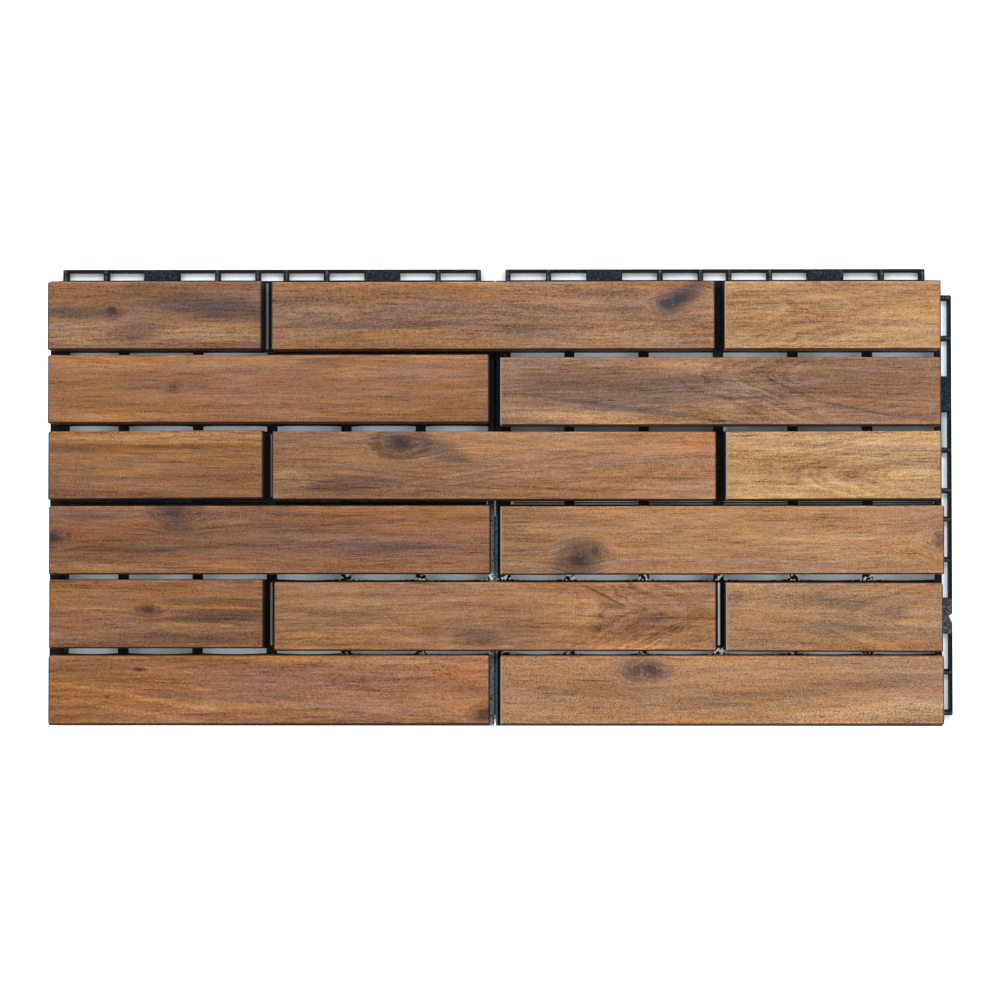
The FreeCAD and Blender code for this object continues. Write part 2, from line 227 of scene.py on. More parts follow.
# What each kind of stain does to the red, green and blue of the wood under it.
STAINS = {
    "dusk": (0.38, 0.48, 0.70, 1),
    "brown": (0.48, 0.40, 0.38, 1),
    "gold": (1.58, 1.68, 1.36, 1),
    "rust": (1.15, 0.78, 0.48, 1),
    "pale": (1.38, 1.58, 1.62, 1),
}

# The grain's layers: waves per metre along and across the slat, detail, strength.
GRAIN_LAYERS = (
    (4, 55, 2, 0.40),
    (14, 240, 2, 0.38),
    (45, 700, 3, 0.38),
    (80, 1250, 2, 0.34),
    (380, 640, 1, 0.20),
    (900, 1500, 0, 0.44),
)

# One look for each slat, placed in millimetres. The lay is how far its left and right end and the y of each
# end lie off the grid. Shade is its brightness, red and blue its tint against green, and gain how much
# brighter its right end is; sandy, where given, is how far specks take the place of streaks. Knots are x, y, half length, half width, turn in degrees, darkness. Stains are kind, x, y,
# half length, half width, turn, strength. A figure is a nest of pointed arches in the grain: the x and y
# of its tip, the side that it opens to, the slope of its arms, and strength.
SLAT_LOOKS = {
    "slat_row_1_left": dict(
        lay=(-1.4, -2.6, 0.5, 0.5), shade=0.78, red=1.02, blue=1.13, gain=-0.02,
        knots=[
            (-260, 124.0, 3.5, 3.0, 0, 0.9),
        ],
        stains=[
            ("dusk", -195, 125.5, 46.0, 8.5, -5, 0.8),
            ("dusk", -245, 130.0, 30.0, 5.0, -4, 0.35),
            ("dusk", -283, 123.5, 24.0, 5.5, -3, 0.55),
            ("gold", -282, 108.5, 26.0, 8.0, 0, 0.5),
            ("gold", -192, 107.5, 44.0, 6.5, 3, 0.6),
            ("dusk", -244, 108.5, 12.5, 6.5, 0, 0.3),
            ("brown", -233, 138.0, 66.5, 3.5, 0, 0.2),
        ],
        figure=None,
    ),
    "slat_row_1_middle": dict(
        lay=(-2.0, -0.6, 0.0, 0.4), shade=0.97, red=0.99, blue=1.05, gain=0.24,
        knots=[
            (110, 128.0, 5.0, 4.2, 10, 0.8),
            (119, 132.0, 7.5, 3.2, 28, 0.85),
        ],
        stains=[
            ("dusk", 124, 133.5, 15.0, 5.0, 24, 0.85),
            ("dusk", 84, 125.0, 10.5, 3.0, 5, 0.5),
            ("rust", 116, 137.0, 8.0, 2.5, 10, 0.6),
            ("dusk", -67, 113.0, 72.0, 2.5, 0, 0.6),
            ("dusk", 16, 111.0, 25.0, 3.0, -2, 0.55),
            ("brown", -104, 105.0, 20.0, 2.0, 0, 0.4),
            ("gold", 92, 107.5, 49.0, 6.0, 0, 0.3),
            ("gold", -114, 121.5, 26.5, 2.5, 0, 0.2),
            ("brown", -54, 135.5, 53.0, 2.5, 0, 0.25),
            ("dusk", 121, 130.0, 20.0, 10.0, 15, 0.3),
        ],
        figure=None,
    ),
    "slat_row_1_right": dict(
        lay=(0.0, -0.4, 0.3, 0.3), shade=1.49, red=0.93, blue=0.88, gain=0.02,
        knots=[],
        stains=[
            ("brown", 162, 113.5, 13.5, 8.0, 0, 0.25),
            ("gold", 258, 107.0, 40.0, 6.0, 0, 0.2),
            ("brown", 185, 130.0, 23.5, 3.5, -6, 0.2),
        ],
        figure=(198, 125.0, -1, 3.0, 0.5),
    ),
    "slat_row_2_left": dict(
        lay=(-1.1, -0.9, 1.0, 1.2), shade=0.81, red=1.14, blue=0.89, gain=0.03,
        knots=[
            (-218, 72.5, 3.0, 2.0, 15, 0.6),
        ],
        stains=[
            ("gold", -272, 89.0, 34.5, 4.5, -2, 0.45),
            ("gold", -255, 54.0, 53.0, 4.0, -1, 0.55),
            ("brown", -233, 77.5, 41.0, 5.5, 0, 0.3),
            ("dusk", -117, 88.5, 20.0, 3.5, 0, 0.5),
            ("brown", -209, 89.5, 3.5, 0.5, 35, 0.6),
            ("dusk", -259, 63.0, 20.0, 2.0, 0, 0.3),
            ("gold", -54, 91.0, 44.0, 2.5, 0, 0.4),
            ("dusk", -15, 77.0, 9.5, 8.0, 0, 0.3),
            ("brown", -134, 73.5, 40.0, 4.0, 0, 0.2),
            ("gold", -114, 58.5, 73.0, 5.5, 0, 0.15),
        ],
        figure=None,
    ),
    "slat_row_2_right": dict(
        lay=(0.6, -0.5, -0.6, -0.6), shade=1.04, red=0.96, blue=1.13, gain=0.04,
        knots=[],
        stains=[
            ("dusk", 66, 74.5, 74.5, 12.5, -3, 0.45),
            ("dusk", 47, 73.5, 16.0, 4.0, 0, 0.35),
            ("dusk", 119, 77.5, 32.0, 4.0, 0, 0.45),
            ("gold", 129, 87.5, 22.5, 3.0, -4, 0.6),
            ("gold", 157, 70.5, 16.0, 8.0, 0, 0.35),
            ("brown", 238, 75.5, 53.0, 12.0, 0, 0.25),
            ("dusk", 76, 60.0, 77.0, 2.0, -8, 0.6),
            ("gold", 56, 52.0, 57.0, 4.0, -4, 0.75),
            ("brown", 190, 72.0, 23.0, 0.8, -26, 0.65),
            ("brown", 236, 57.5, 38.0, 0.8, -10, 0.5),
            ("gold", 195, 54.5, 33.0, 3.5, -8, 0.25),
        ],
        figure=(171, 79.5, 1, 2.5, 0.65),
    ),
    "slat_row_3_left": dict(
        lay=(-0.7, -1.5, -0.3, 0.6), shade=0.79, red=1.10, blue=0.88, gain=0.06,
        knots=[],
        stains=[
            ("gold", -230, 39.5, 83.0, 4.5, 0, 0.95),
            ("brown", -230, 33.0, 83.0, 1.5, 0, 0.45),
            ("dusk", -288, 29.0, 17.5, 4.5, 0, 0.3),
            ("brown", -190, 17.0, 33.0, 8.0, 0, 0.2),
            ("gold", -260, 8.0, 40.0, 3.5, 0, 0.15),
        ],
        figure=None,
    ),
    "slat_row_3_middle": dict(
        lay=(-1.3, 0.2, -0.3, -0.6), shade=1.06, red=1.01, blue=1.00, gain=0.4,
        knots=[
            (-67, 35.0, 9.0, 5.5, 0, 0.95),
        ],
        stains=[
            ("dusk", -66, 34.0, 21.0, 8.5, 0, 0.5),
            ("dusk", -43, 32.0, 21.0, 6.0, -16, 0.75),
            ("gold", -140, 10.5, 13.5, 7.5, 0, 0.5),
            ("brown", -99, 6.5, 30.5, 6.0, 8, 0.55),
            ("gold", -41, 12.0, 44.0, 1.0, 13, 0.5),
            ("gold", -22, 10.0, 40.0, 1.0, 12, 0.4),
            ("brown", -34, 6.0, 40.0, 1.5, 12, 0.3),
            ("brown", 36, 26.0, 38.5, 1.0, 6, 0.4),
            ("brown", 121, 12.5, 24.0, 1.0, -1, 0.5),
            ("rust", 131, 36.5, 14.5, 4.0, 0, 0.4),
            ("dusk", 71, 35.0, 17.5, 2.5, 0, 0.3),
            ("gold", 66, 5.5, 60.0, 4.0, 0, 0.2),
        ],
        figure=None,
    ),
    "slat_row_3_right": dict(
        lay=(0.6, -0.3, -0.6, 0.0), shade=1.87, red=0.84, blue=0.98, gain=-0.04,
        knots=[],
        stains=[
            ("brown", 206, 17.0, 30.5, 5.5, 0, 0.3),
            ("gold", 265, 12.5, 26.5, 4.0, 0, 0.3),
            ("dusk", 268, -0.5, 26.5, 1.5, 0, 0.3),
        ],
        figure=(228, 12.5, 1, 4.0, 0.6),
    ),
    "slat_row_4_left": dict(
        lay=(0.0, 0.0, -0.3, 0.0), shade=0.80, red=1.10, blue=0.96, gain=0.16,
        knots=[
            (-217, -10.0, 9.0, 5.5, -14, 0.65),
            (-299, -27.5, 6.5, 4.0, 0, 0.9),
        ],
        stains=[
            ("dusk", -219, -14.0, 13.5, 5.5, -18, 0.5),
            ("rust", -283, -24.0, 12.0, 4.0, 0, 0.6),
            ("rust", -255, -22.5, 29.0, 6.0, 0, 0.35),
            ("dusk", -240, -35.5, 49.0, 2.5, 0, 0.55),
            ("dusk", -167, -34.0, 29.0, 2.0, 0, 0.35),
            ("dusk", -74, -35.0, 28.0, 3.0, 0, 0.55),
            ("dusk", -123, -20.5, 40.0, 5.5, -4, 0.3),
            ("gold", -233, -47.0, 70.0, 2.5, 0, 0.45),
            ("dusk", -280, -12.0, 24.0, 3.5, 0, 0.35),
            ("gold", -67, -23.5, 40.0, 2.0, -5, 0.2),
        ],
        figure=None,
    ),
    "slat_row_4_right": dict(
        lay=(0.7, 1.2, -0.5, 0.0), shade=1.27, red=0.96, blue=1.00, gain=0.28,
        knots=[
            (52, -43.0, 7.0, 6.5, 0, 0.95),
            (62, -36.5, 4.0, 3.0, 30, 0.6),
            (291, -29.5, 5.0, 7.0, 0, 0.6),
        ],
        stains=[
            ("dusk", 50, -41.0, 20.5, 9.5, 8, 0.4),
            ("brown", 52, -41.0, 18.0, 9.0, 8, 0.4),
            ("rust", 87, -34.5, 22.5, 9.5, 0, 0.3),
            ("brown", 39, -14.5, 33.0, 3.5, -4, 0.25),
            ("brown", 19, -32.5, 14.5, 6.5, 0, 0.25),
            ("gold", 232, -32.5, 46.5, 9.5, 0, 0.15),
        ],
        figure=None,
    ),
    "slat_row_5_left": dict(
        lay=(0.3, -1.0, 0.3, 0.3), shade=0.74, red=1.13, blue=0.88, gain=-0.08,
        knots=[
            (-234.7, -76.0, 4.5, 2.3, -6, 0.85),
        ],
        stains=[
            ("gold", -263, -76.0, 18.5, 0.5, 0, 0.7),
            ("rust", -238, -76.0, 11.0, 5.0, -4, 0.5),
            ("gold", -190, -74.0, 33.0, 1.0, -1, 0.55),
            ("gold", -207, -86.5, 50.5, 1.0, -1, 0.6),
            ("dusk", -190, -69.0, 33.0, 2.0, 0, 0.45),
            ("dusk", -190, -81.0, 33.0, 3.0, 0, 0.6),
            ("dusk", -207, -95.0, 56.0, 3.0, 0, 0.45),
            ("rust", -207, -62.5, 49.0, 3.5, 0, 0.25),
            ("rust", -283, -84.0, 17.5, 6.5, 0, 0.25),
        ],
        figure=None,
    ),
    "slat_row_5_middle": dict(
        lay=(0.0, 0.0, -1.3, -1.3), shade=1.08, red=1.04, blue=0.90, gain=0.22,
        knots=[
            (-13, -96.5, 5.5, 2.0, 0, 0.25),
        ],
        stains=[
            ("dusk", -14, -94.5, 19.0, 6.0, 0, 0.55),
            ("gold", -101, -91.5, 44.0, 5.5, 3, 0.35),
            ("brown", -94, -81.0, 18.5, 5.5, 0, 0.3),
            ("brown", -127, -77.0, 16.0, 5.5, 0, 0.2),
            ("brown", 111, -77.0, 29.0, 11.5, 0, 0.3),
            ("dusk", 100, -80.5, 12.0, 2.5, 0, 0.45),
            ("brown", 69, -66.5, 23.0, 0.8, -26, 0.75),
            ("brown", 82, -79.0, 10.5, 0.8, 30, 0.5),
            ("gold", 56, -77.0, 24.0, 6.5, 0, 0.3),
            ("dusk", 10, -90.5, 18.5, 4.5, 0, 0.4),
            ("gold", 88, -98.5, 33.0, 2.5, 0, 0.4),
        ],
        figure=(91, -77.0, -1, 1.9, 0.8),
    ),
    "slat_row_5_right": dict(
        lay=(0.4, 0.2, -1.6, -1.9), shade=1.23, red=0.96, blue=0.97, gain=-0.04, sandy=0.8,
        knots=[],
        stains=[
            ("pale", 175, -62.5, 26.5, 4.5, -4, 0.45),
            ("dusk", 236, -72.5, 33.0, 4.0, -8, 0.45),
            ("dusk", 228, -86.5, 22.5, 3.5, 0, 0.4),
            ("gold", 275, -80.5, 18.5, 7.5, 0, 0.25),
            ("dusk", 155, -73.0, 6.5, 8.0, 0, 0.25),
            ("gold", 252, -62.5, 33.0, 2.0, 0, 0.2),
        ],
        figure=(246, -78.0, 1, 3.2, 0.5),
    ),
    "slat_row_6_left": dict(
        lay=(0.0, -0.6, -0.6, -0.3), shade=0.94, red=1.20, blue=0.77, gain=0.26,
        knots=[
            (-240.7, -115.4, 3.0, 1.0, -8, 0.9),
            (-11, -145.0, 6.5, 4.0, 20, 0.75),
        ],
        stains=[
            ("gold", -237, -135.0, 70.0, 1.5, -9, 0.5),
            ("gold", -253, -141.5, 50.0, 1.5, -9, 0.45),
            ("gold", -180, -131.5, 60.0, 1.5, -10, 0.3),
            ("gold", -77, -111.0, 70.0, 3.5, -2, 0.35),
            ("brown", -270, -119.0, 32.0, 7.5, 0, 0.3),
            ("dusk", -154, -135.0, 29.0, 5.5, -8, 0.25),
            ("brown", -273, -146.0, 26.5, 2.5, -4, 0.25),
            ("dusk", -13, -143.5, 10.5, 6.0, 30, 0.3),
            ("dusk", -200, -111.0, 33.0, 2.5, 0, 0.25),
        ],
        figure=None,
    ),
    "slat_row_6_right": dict(
        lay=(0.7, 0.8, -0.5, -0.4), shade=1.36, red=0.96, blue=1.02, gain=-0.02, sandy=1.0,
        knots=[
            (88, -116.5, 5.5, 5.0, 10, 0.6),
            (99, -115.0, 7.0, 4.0, -12, 0.85),
        ],
        stains=[
            ("dusk", 92, -116.5, 18.5, 6.0, 0, 0.4),
            ("brown", 59, -129.0, 48.0, 5.5, 0, 0.25),
            ("dusk", 198, -129.5, 96.5, 5.5, 5.5, 0.35),
            ("pale", 252, -143.5, 78.5, 6.5, 5, 0.65),
            ("gold", 39, -143.5, 33.0, 3.5, 0, 0.2),
            ("brown", 145, -139.5, 40.0, 1.5, 6, 0.3),
            ("gold", 165, -111.5, 40.0, 2.5, 0, 0.2),
        ],
        figure=None,
    ),
}


def wood(name, look, low, high):
    """Oiled hardwood: straight fibres that bend round the knots, pores, stains and growth figures."""
    seed = sum((number + 1) * ord(letter) for number, letter in enumerate(name))
    shift = ((seed % 17) * 3.1, (seed % 23) * 2.3, (seed % 29) * 1.7)
    turned_shift = (shift[1], shift[2], shift[0])
    middle, length, top = (low + high) / 2, high.x - low.x, high.z
    graph = Graph(name + "_wood")
    point = graph.place()

    def away_from(vector, x, y, half_length, half_width, turn):
        inputs = {
            "Vector": vector,
            "Location": (x * MM, y * MM, top),
            "Rotation": (0, 0, math.radians(turn)),
            "Scale": (half_length * MM, half_width * MM, 0.03),
        }
        return graph.length(graph.node("ShaderNodeMapping", inputs, vector_type="TEXTURE").outputs[0])

    # the grain sways a little along the slat and bulges round each knot
    own_y = graph.parts(point)[1]
    sway = graph.noise(graph.stretched(point, 5, 16, shift), detail=2)["Fac"]
    push = graph.math("MULTIPLY", graph.math("SUBTRACT", sway, 0.5), 0.010)
    for x, y, half_length, half_width, turn, dark in look["knots"]:
        reach = graph.ease(away_from(point, x, y, half_length, half_width, turn), 0.5, 3.6, 0.7, 0)
        push = graph.math("ADD", push, graph.math("MULTIPLY", reach, graph.math("SUBTRACT", y * MM, own_y)))
    bent = graph.vector("ADD", point, graph.join(0.0, push, 0.0))

    level = 0.5
    sandy = look.get("sandy", 0.0)
    for number, (along, across, detail, strength) in enumerate(GRAIN_LAYERS):
        moved = (shift[0] + 5 * number, shift[1] - 3 * number, shift[2])
        strength *= 1 - 0.35 * sandy if across > 3 * along else 1 + 0.2 * sandy
        grain = graph.noise(graph.stretched(bent, along, across, moved), detail=detail, roughness=0.55)["Fac"]
        level = graph.math("ADD", level, graph.math("MULTIPLY", graph.math("SUBTRACT", grain, 0.5), strength))
    fibre = graph.noise(graph.stretched(bent, 30, 620, turned_shift), detail=2)["Fac"]
    fibre = graph.math("SUBTRACT", fibre, 0.5)

    # pointed arches where the saw ran close to the heart
    if look["figure"]:
        tip_x, tip_y, opens, slope, strength = look["figure"]
        parts = graph.parts(bent)
        along = graph.math("MULTIPLY", graph.math("SUBTRACT", parts[0], tip_x * MM), opens)
        aside = graph.length(graph.join(graph.math("SUBTRACT", parts[1], tip_y * MM), 0.005, 0.0))
        nested = graph.math("SUBTRACT", along, graph.math("MULTIPLY", aside, slope))
        wavering = graph.noise(graph.stretched(point, 22, 60, turned_shift), detail=2)["Fac"]
        nested = graph.math("ADD", nested, graph.math("MULTIPLY", wavering, 0.05))
        nested = graph.join(graph.math("MULTIPLY", nested, 150), graph.math("MULTIPLY", parts[1], 30), seed * 0.31)
        arches = graph.noise(nested, detail=3)["Fac"]
        spread = graph.ease(graph.math("ABSOLUTE", along), 0.005, 0.07, strength, 0)
        arches = graph.math("MULTIPLY", graph.math("SUBTRACT", arches, 0.5), spread)
        level = graph.math("ADD", level, arches)

    # rings and darkening of the knots
    knot_mask, heart_mask = 0.0, 0.0
    ragged = graph.noise(point, scale=330, detail=3, roughness=0.6)["Fac"]
    ragged = graph.math("MULTIPLY", graph.math("SUBTRACT", ragged, 0.5), 1.5)
    for x, y, half_length, half_width, turn, dark in look["knots"]:
        away = away_from(point, x, y, half_length, half_width, turn)
        away = graph.math("ADD", away, graph.math("ADD", graph.math("MULTIPLY", fibre, 1.2), ragged))
        rings = graph.noise(graph.join(graph.math("MULTIPLY", away, 3.2), 0.0, x * 0.1), detail=2)["Fac"]
        ringed = graph.ease(away, 1.2, 2.8, 0.9 * dark, 0)
        level = graph.math("ADD", level, graph.math("MULTIPLY", graph.math("SUBTRACT", rings, 0.5), ringed))
        knot_mask = graph.math("MAXIMUM", knot_mask, graph.ease(away, 0.85, 1.9, dark, 0))
        heart_mask = graph.math("MAXIMUM", heart_mask, graph.ease(away, 0.35, 1.0, dark, 0))
        rim = graph.ease(graph.math("ABSOLUTE", graph.math("SUBTRACT", away, 1.85)), 0.5, 0.1, 0, 0.45 * dark)
        knot_mask = graph.math("MAXIMUM", knot_mask, rim)

    # stains with feathered ends
    masks = dict.fromkeys(STAINS, 0.0)
    for kind, x, y, half_length, half_width, turn, strength in look["stains"]:
        away = away_from(bent, x, y, half_length, half_width, turn)
        away = graph.math("ADD", away, graph.math("MULTIPLY", fibre, 1.9))
        masks[kind] = graph.math("MAXIMUM", masks[kind], graph.ease(away, 0.4, 1.55, min(1, 1.15 * strength), 0))

    specks = graph.noise(graph.stretched(point, 850, 1000, shift), detail=1)["Fac"]
    speck_share = graph.math("ADD", graph.math("MULTIPLY", masks["pale"], 0.55), 0.25 * sandy)
    specks = graph.math("MULTIPLY", graph.math("SUBTRACT", specks, 0.5), speck_share)
    level = graph.math("ADD", level, specks)

    pores = graph.noise(graph.stretched(bent, 170, 1500, shift), detail=2, roughness=0.6)["Fac"]
    pore = graph.ease(pores, 0.57, 0.70)
    pore = graph.math("MULTIPLY", pore, graph.math("ADD", graph.math("MULTIPLY", masks["gold"], 0.12), 0.10))
    hairs = graph.noise(graph.stretched(bent, 38, 820, turned_shift), detail=2, roughness=0.6)["Fac"]
    hair = graph.ease(hairs, 0.60, 0.69, 0, 0.15)
    level = graph.math("SUBTRACT", graph.math("SUBTRACT", level, pore), hair, clamp=True)
    colour = graph.ramp(level, WOOD_TONES)
    for kind, mask in masks.items():
        colour = graph.mix(mask, colour, STAINS[kind], "MULTIPLY")
    colour = graph.mix(knot_mask, colour, graph.mix(0.7, colour, KNOT_TONE))
    colour = graph.mix(heart_mask, colour, graph.mix(0.85, colour, KNOT_HEART))

    # golden and purplish turns of hue
    fine_hue = graph.noise(graph.stretched(bent, 26, 380, turned_shift), detail=2)["Fac"]
    broad_hue = graph.noise(graph.stretched(bent, 7, 48, turned_shift), detail=1)["Fac"]
    hue = graph.math("SUBTRACT", graph.math("ADD", fine_hue, broad_hue), 1.0)
    red_hue = graph.noise(graph.stretched(bent, 45, 260, (shift[2], shift[0], shift[1])), detail=3)["Fac"]
    reddening = graph.math("MULTIPLY", graph.math("SUBTRACT", red_hue, 0.5), 0.25)
    reddening = graph.math("ADD", reddening, graph.math("MULTIPLY", hue, 0.35))

    # overall tone of this slat
    shade, red, blue = look["shade"], look["red"], look["blue"]
    along = graph.math("DIVIDE", graph.math("SUBTRACT", graph.parts(point)[0], middle.x), length)
    gain = graph.math("ADD", graph.math("MULTIPLY", along, look["gain"]), 1.0)
    tone = graph.join(
        graph.math("MULTIPLY", gain, graph.math("ADD", reddening, shade * red)),
        graph.math("MULTIPLY", gain, shade),
        graph.math("MULTIPLY", gain, graph.math("ADD", graph.math("MULTIPLY", hue, -1.1), shade * blue)),
    )
    colour = graph.mix(1.0, colour, tone, "MULTIPLY")

    # painted shade: sides that do not face up come out darker and redder, and the lower edges facing -y darker still;
    # darker ends; and a lighter line along the long edges, partly wear and partly a painted highlight on the edges
    # facing +y
    faces = graph.parts(graph.facing())
    tilt = graph.math("ABSOLUTE", faces[2])
    colour = graph.mix(graph.ease(tilt, 0.75, 0.2, 0, 0.6), colour, (0.75, 0.52, 0.40, 1), "MULTIPLY")
    end_face = graph.math("ABSOLUTE", faces[0])
    colour = graph.mix(graph.ease(end_face, 0.08, 0.4, 0, 0.85), colour, END_TONE)
    # painted shade along the rounded lower edges that face -y, drawn towards the end tone
    near_edge_shade = graph.math("MULTIPLY", graph.ease(faces[1], -0.1, -0.42), graph.ease(faces[1], -0.99, -0.9))
    colour = graph.mix(graph.math("MULTIPLY", near_edge_shade, 0.9), colour, END_TONE)
    edge = graph.math("ABSOLUTE", graph.math("SUBTRACT", own_y, middle.y))
    wear_and_highlight = graph.ease(edge, (high.y - low.y) / 2 - 2.6 * MM, (high.y - low.y) / 2 - 1.2 * MM, 0, 0.3)
    # painted highlight on the rounded edges facing +y, joined with a band of wear along both long edges
    far_edge_highlight = graph.math("MULTIPLY", graph.ease(faces[1], 0.1, 0.4), graph.ease(faces[1], 0.95, 0.8, 0, 0.5))
    patchy = graph.noise(graph.stretched(point, 55, 300, shift), detail=2)["Fac"]
    wear_and_highlight = graph.math("MULTIPLY", graph.math("MAXIMUM", wear_and_highlight, far_edge_highlight), graph.ease(patchy, 0.4, 0.6))
    colour = graph.mix(wear_and_highlight, colour, (1.7, 1.6, 1.5, 1), "MULTIPLY")
    # painted highlight: the ends facing -x of the slats right of the middle are lightened towards a pale tone
    lit_end = graph.math("MULTIPLY", graph.ease(faces[0], -0.06, -0.3), graph.ease(faces[0], -0.9, -0.7))
    lit_end = graph.math("MULTIPLY", lit_end, graph.ease(graph.parts(point)[0], -0.05, -0.02, 0, 0.65))
    colour = graph.mix(lit_end, colour, LIT_END_TONE)

    rough = graph.math("ADD", graph.math("MULTIPLY", graph.math("ADD", fibre, pore), 0.12), 0.62)
    height = graph.math("SUBTRACT", level, graph.math("MULTIPLY", pore, 2.0))
    return graph.finish({
        "Base Color": colour,
        "Roughness": rough,
        "Specular IOR Level": 0.2,
        "Normal": graph.bump(height, 0.00025, 0.6),
    })


def rounded_section(half_width, half_height, inset):
    """Corner points of a slat's section as y, z pairs, drawn in by the inset."""
    points = []
    corners = (
        (1, -1, UNDER_ROUND, -90, 3),
        (1, 1, EDGE_ROUND, 0, 6),
        (-1, 1, EDGE_ROUND, 90, 6),
        (-1, -1, UNDER_ROUND, 180, 3),
    )
    for side, up, radius, start, steps in corners:
        kept = max(radius - inset, 0.12)
        centre_y = side * (half_width - inset - kept)
        centre_z = up * (half_height - inset - kept)
        for step in range(steps + 1):
            turn = math.radians(start + 90 * step / steps)
            points.append((centre_y + kept * math.cos(turn), centre_z + kept * math.sin(turn)))
    return points


def slat_mesh(name, low, high, lay, seed):
    """A planed slat with eased edges, whose long sides wander a little as sawn wood does.

    The lay moves its left end, right end, and the y of each end by fractions of a millimetre.
    """
    left_end, right_end, left_y, right_y = lay
    low = low + Vector((left_end, 0, 0)) * MM
    high = high + Vector((right_end, 0, 0)) * MM
    half = (high - low) / 2 / MM
    middle = (high + low) / 2
    ends = []
    for step in range(5):
        turn = math.radians(90 * step / 4)
        ends.append((-half.x + END_ROUND * (1 - math.cos(turn)), END_ROUND * (1 - math.sin(turn))))
    straight = 2 * (half.x - END_ROUND)
    count = round(straight / STATION)
    inner = [(-half.x + END_ROUND + straight * step / count, 0.0) for step in range(1, count)]
    stations = ends + inner + [(-x, inset) for x, inset in reversed(ends)]
    built = bmesh.new()
    rings = []
    for x, inset in stations:
        ring = []
        share = (x + half.x) / (2 * half.x)
        aside = left_y + (right_y - left_y) * share
        for y, z in rounded_section(half.y, half.z, inset):
            side = 1 if y > 0 else -1
            wave = noise.noise(Vector((x * 0.03, side * 7.0, seed)))
            wave += 0.5 * noise.noise(Vector((x * 0.12, side, seed)))
            y -= side * EDGE_WAVE * min(1.0, max(0.0, 0.5 + 0.6 * wave))
            ring.append(built.verts.new(middle + Vector((x, y + aside, z)) * MM))
        rings.append(ring)
    for near, far in zip(rings, rings[1:]):
        for number in range(len(near)):
            following = (number + 1) % len(near)
            built.faces.new((near[number], far[number], far[following], near[following]))
    built.faces.new(list(reversed(rings[0])))
    built.faces.new(rings[-1])
    bmesh.ops.recalc_face_normals(built, faces=built.faces)
    mesh = bpy.data.meshes.new(name)
    built.to_mesh(mesh)
    built.free()
    mesh.polygons.foreach_set("use_smooth", [True] * len(mesh.polygons))
    mesh.set_sharp_from_angle(angle=math.radians(40))
    return mesh


for number, (node, look) in enumerate(SLAT_LOOKS.items()):
    low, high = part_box(node)
    mesh = slat_mesh(node + "_board", low, high, look["lay"], number * 5.3)
    board = add_piece(node + "_board", mesh, wood(node, look, low, high))
    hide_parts(node)


# screws

def screw_steel():
    """Zinc-plated steel with a faint brushed grain and dull patches."""
    graph = Graph("zinc_plated_steel")
    point = graph.place()
    patches = graph.noise(point, scale=900, detail=3)["Fac"]
    brushed = graph.noise(graph.stretched(point, 4000, 600), detail=2)["Fac"]
    colour = graph.ramp(patches, ((0.3, (0.36, 0.35, 0.33, 1)), (0.7, (0.62, 0.62, 0.60, 1))))
    rough = graph.ease(graph.math("ADD", patches, graph.math("MULTIPLY", brushed, 0.4)), 0.4, 1.0, 0.26, 0.5)
    return graph.finish({
        "Base Color": colour,
        "Metallic": 1.0,
        "Roughness": rough,
        "Normal": graph.bump(brushed, 0.00003, 0.5),
    })


def add_screw(built, x, y, bottom, top):
    """One hex-head tapping screw, head down, with a helical thread and a pointed end."""
    def ring(count, radius_at, z):
        made = []
        for step in range(count):
            turn = 2 * math.pi * step / count
            radius = radius_at(turn)
            made.append(built.verts.new(Vector((x + radius * math.cos(turn), y + radius * math.sin(turn), z)) * MM))
        return made

    def hexagon(turn):
        fold = (turn + math.pi / 6) % (math.pi / 3) - math.pi / 6
        return HEAD_CORNERS / 2 * math.cos(math.pi / 6) / math.cos(math.pi / 6 - abs(fold))

    count = 24
    flat = HEAD_CORNERS / 2 * math.cos(math.pi / 6)
    levels = [
        ring(count, lambda turn: 1.2, bottom + 0.45),
        ring(count, lambda turn: 1.7, bottom + 0.12),
        ring(count, lambda turn: flat * 0.93, bottom),
        ring(count, lambda turn: min(hexagon(turn), flat * 1.02), bottom + 0.18),
        ring(count, hexagon, bottom + 0.42),
        ring(count, hexagon, bottom + HEAD_HEIGHT - 0.15),
        ring(count, lambda turn: min(hexagon(turn), flat), bottom + HEAD_HEIGHT),
        ring(count, lambda turn: SHANK / 2 - THREAD_DEPTH, bottom + HEAD_HEIGHT),
    ]
    z = bottom + HEAD_HEIGHT
    while z < top - 0.4:
        taper = min(1.0, max(0.15, (top - z) / 3.0))

        def threaded(turn, z=z, taper=taper):
            phase = (z / THREAD_PITCH - turn / (2 * math.pi)) % 1.0
            crest = max(0.0, 1 - abs(phase - 0.5) * 4)
            return (SHANK / 2 - THREAD_DEPTH + THREAD_DEPTH * crest) * taper

        levels.append(ring(count, threaded, z + 0.05))
        z += THREAD_PITCH / 5
    levels.append(ring(count, lambda turn: 0.08, top))
    for near, far in zip(levels, levels[1:]):
        for number in range(count):
            following = (number + 1) % count
            built.faces.new((near[number], near[following], far[following], far[number]))
    built.faces.new(list(reversed(levels[0])))
    built.faces.new(levels[-1])


SCREW_COLUMNS = (-279.35, -179.35, -129.35, -29.35, 20.65, 120.65, 170.65, 270.65)
screw_low, screw_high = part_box("slat_screws")
built = bmesh.new()
for node in ("1", "2", "3", "4", "5", "6"):
    row_low, row_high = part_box(f"slat_row_{node}_left")
    row_middle = (row_low.y + row_high.y) / 2 / MM
    for column in SCREW_COLUMNS:
        add_screw(built, column, row_middle, screw_low.z / MM, screw_high.z / MM)
bmesh.ops.recalc_face_normals(built, faces=built.faces)
screw_mesh = bpy.data.meshes.new("slat_screws_steel")
built.to_mesh(screw_mesh)
built.free()
screw_piece = add_piece("slat_screws_steel", screw_mesh, screw_steel())
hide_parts("slat_screws")


# plastic bases

